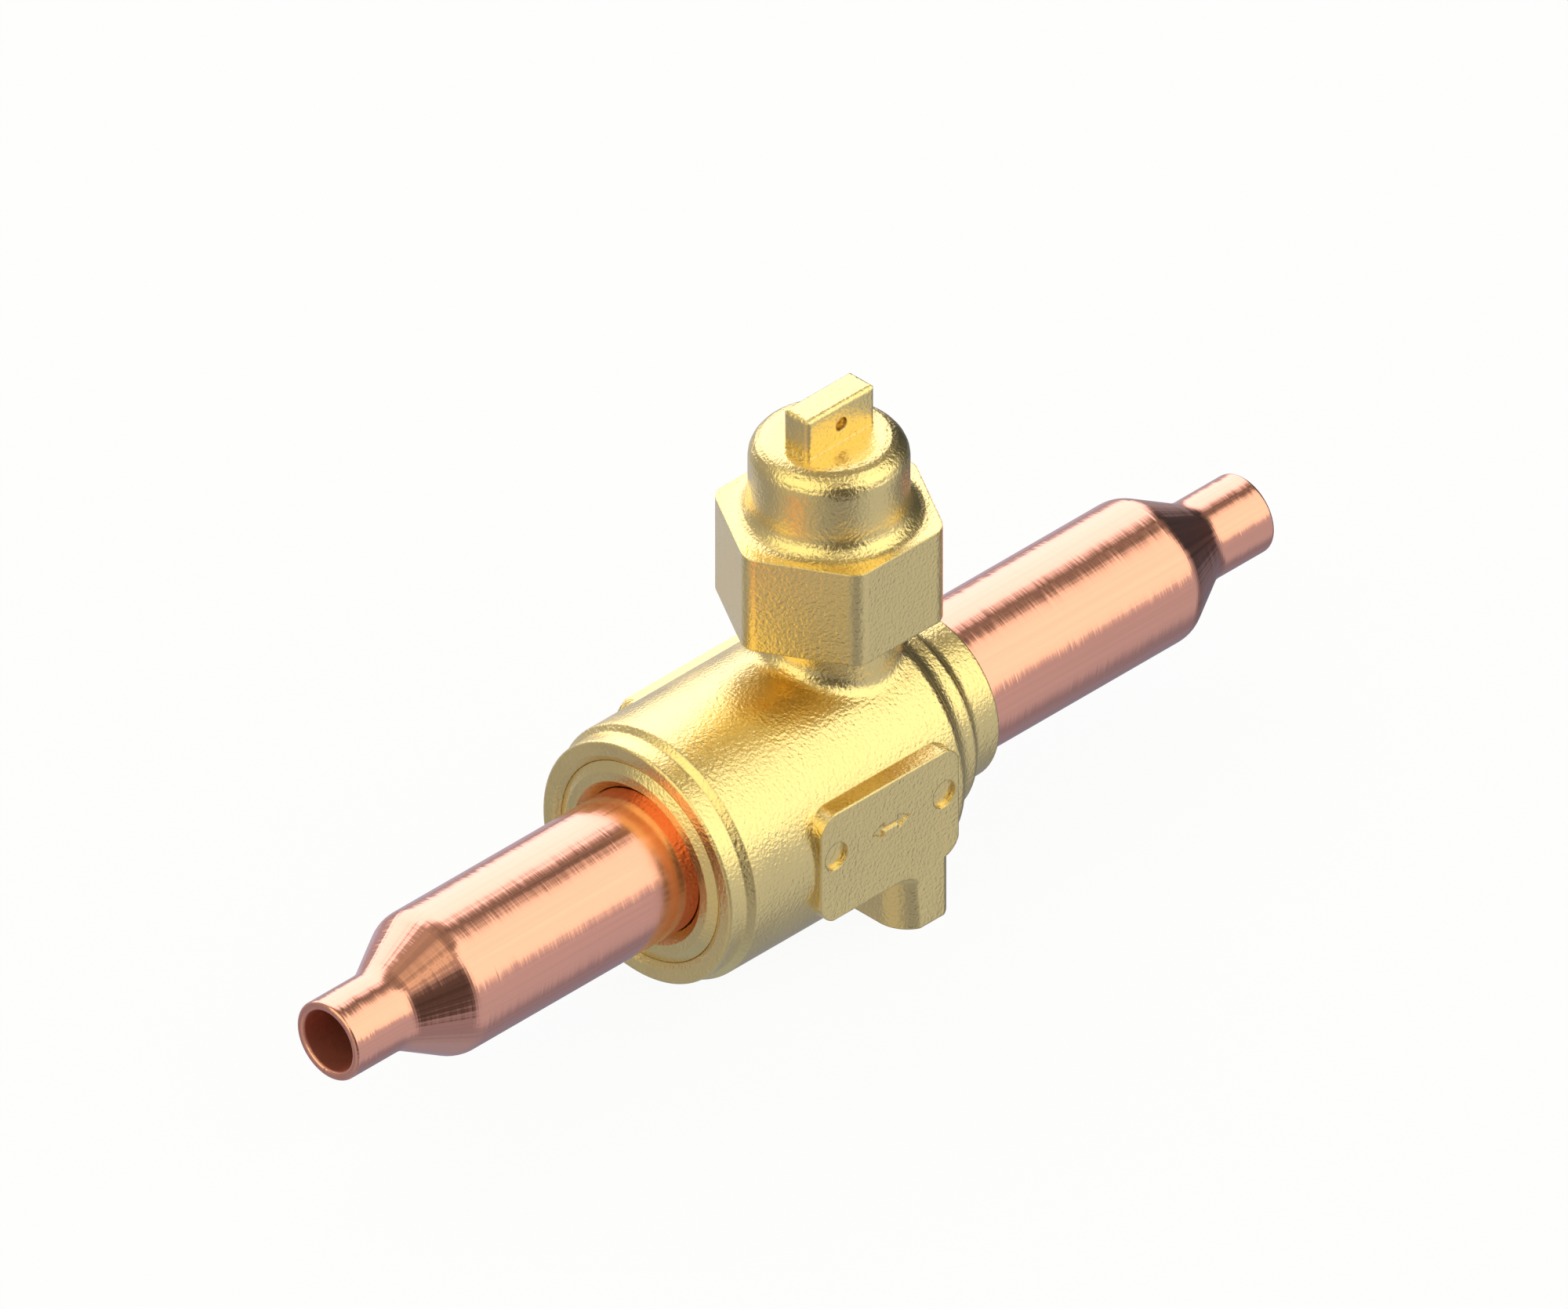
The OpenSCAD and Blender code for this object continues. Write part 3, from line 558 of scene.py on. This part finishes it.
def card_group():
    """Mask of one flat card, from a direction and the card's own three directions."""
    tree, given, out = new_group(
        "studio_card",
        [(label, "Vector", None) for label in ("Direction", "Facing", "Right", "Up")]
        + [(label, "Float", 0.5) for label in ("Half Width", "Half Height", "Edge")],
        [("Mask", "Float")])
    ahead = vector_maths(tree, "DOT_PRODUCT", given["Direction"], given["Facing"])
    distance = maths(tree, "MAXIMUM", ahead, LEAST_AHEAD)
    mask = maths(tree, "GREATER_THAN", ahead, LEAST_AHEAD)
    for axis, reach in (("Right", "Half Width"), ("Up", "Half Height")):
        aside = vector_maths(tree, "DOT_PRODUCT", given["Direction"], given[axis])
        inside = ramp(tree, maths(tree, "DIVIDE", maths(tree, "ABSOLUTE", aside), distance),
                      maths(tree, "ADD", given[reach], given["Edge"]),
                      maths(tree, "SUBTRACT", given[reach], given["Edge"]))
        mask = maths(tree, "MULTIPLY", mask, inside)
    give(tree, out["Mask"], mask)
    return tree


def card_directions(azimuth, elevation):
    """Unit vectors from the object to a card's middle, and along its width and height."""
    turn, tilt = math.radians(azimuth), math.radians(elevation)
    facing = Vector((math.cos(turn) * math.cos(tilt), math.sin(turn) * math.cos(tilt),
                     math.sin(tilt)))
    right = Vector((-math.sin(turn), math.cos(turn), 0))
    return facing, right, facing.cross(right)


def base_light(tree, direction):
    """Colour of the light between the cards."""
    height = add(tree, "SeparateXYZ", {"Vector": direction}).outputs["Z"]
    elevation = maths(tree, "ARCSINE", height)
    colour = (*STUDIO_BASE[0][1], 1)
    for (low, _), (high, above) in zip(STUDIO_BASE, STUDIO_BASE[1:]):
        share = ramp(tree, elevation, math.radians(low), math.radians(high), kind="LINEAR")
        colour = mix_colour(tree, share, colour, (*above, 1))
    return colour


def studio_world():
    """Cards that light the object and a white background for the camera."""
    world = bpy.data.worlds.new("studio")
    bpy.context.scene.world = world
    world.use_nodes = True
    tree = world.node_tree
    tree.nodes.clear()
    direction = add(tree, "TexCoord").outputs["Generated"]
    colour = base_light(tree, direction)
    card = card_group()
    for _, azimuth, tilt, wide, tall, edge, brightness in STUDIO_CARDS:
        facing, right, up = card_directions(azimuth, tilt)
        mask = use_group(tree, card, Direction=direction, Facing=facing, Right=right, Up=up,
                         Half_Width=wide, Half_Height=tall, Edge=edge)["Mask"]
        colour = mix_colour(tree, mask, colour, (*brightness, 1))
    cards = add(tree, "Background", {"Color": colour, "Strength": 1.0})
    white = add(tree, "Background", {"Color": WHITE, "Strength": 1.0})
    seen = add(tree, "LightPath").outputs["Is Camera Ray"]
    both = mix_shaders(tree, seen, cards.outputs[0], white.outputs[0])
    add(tree, "OutputWorld", {"Surface": both})


def floor_material():
    """Pale paint, nearly white to the camera and open from below."""
    material, tree, paint = blank_material("studio_floor_paint", Roughness=0.9)
    paint.inputs["Base Color"].default_value = FLOOR_PAINT
    surface = paint.outputs[0].links[0].to_socket
    glow = add(tree, "Emission", {"Color": WHITE, "Strength": 1.0})
    path = add(tree, "LightPath").outputs
    mirrored = maths(tree, "MAXIMUM", path["Is Glossy Ray"], path["Is Transmission Ray"])
    seen = maths(tree, "MAXIMUM", path["Is Camera Ray"], mirrored)
    lit = mix_shaders(tree, maths(tree, "MULTIPLY", seen, FLOOR_WHITE),
                      paint.outputs[0], glow.outputs[0])
    clear = add(tree, "BsdfTransparent").outputs[0]
    below = add(tree, "NewGeometry").outputs["Backfacing"]
    give(tree, surface, mix_shaders(tree, below, lit, clear))
    return material


def studio_floor():
    """Floor that keeps a faint shadow."""
    bm = bmesh.new()
    bmesh.ops.create_grid(bm, x_segments=FLOOR_SEGMENTS, y_segments=FLOOR_SEGMENTS,
                          size=FLOOR_HALF)
    floor = new_object("studio_floor", bm)
    floor.location.z = -FLOOR_DROP
    floor.data.materials.append(floor_material())
    floor.visible_glossy = False
    floor.visible_shadow = False


def view_camera():
    """Parallel camera that looks at the object as the photograph does."""
    turn, tilt = math.radians(VIEW_AZIMUTH), math.radians(VIEW_ELEVATION)
    back = Vector((math.sin(turn) * math.cos(tilt), -math.cos(turn) * math.cos(tilt),
                   math.sin(tilt)))
    right = Vector((math.cos(turn), math.sin(turn), 0))
    up = back.cross(right)
    data = bpy.data.cameras.new("view_camera")
    data.type = "ORTHO"
    data.ortho_scale = VIEW_WIDTH
    data.clip_start, data.clip_end = CAMERA_CLIP
    camera = bpy.data.objects.new("view_camera", data)
    bpy.context.scene.collection.objects.link(camera)
    aim = Vector((0, 0, AXIS_H)) + right * AIM_RIGHT + up * AIM_UP
    camera.location = aim + back * CAMERA_DISTANCE
    camera.rotation_mode = "QUATERNION"
    camera.rotation_quaternion = (-back).to_track_quat("-Z", "Y")
    bpy.context.scene.camera = camera


# ---- making ---------------------------------------------------------------------------------

view_camera()
studio_world()
studio_floor()
finishes = material_set()
dress_nodes(finishes)
forged_body(finishes)
helix_ridge("neck_thread", NECK_CORE_R, NECK_CREST_R, NECK_THREAD, NECK_PHASE,
            finishes["turned_brass"], "valve")
helix_ridge("cap_thread", CAP_BORE_R, CAP_CREST_R, CAP_THREAD, CAP_PHASE,
            finishes["turned_brass"], "cap")

bpy.context.scene.view_settings.view_transform = "Standard"
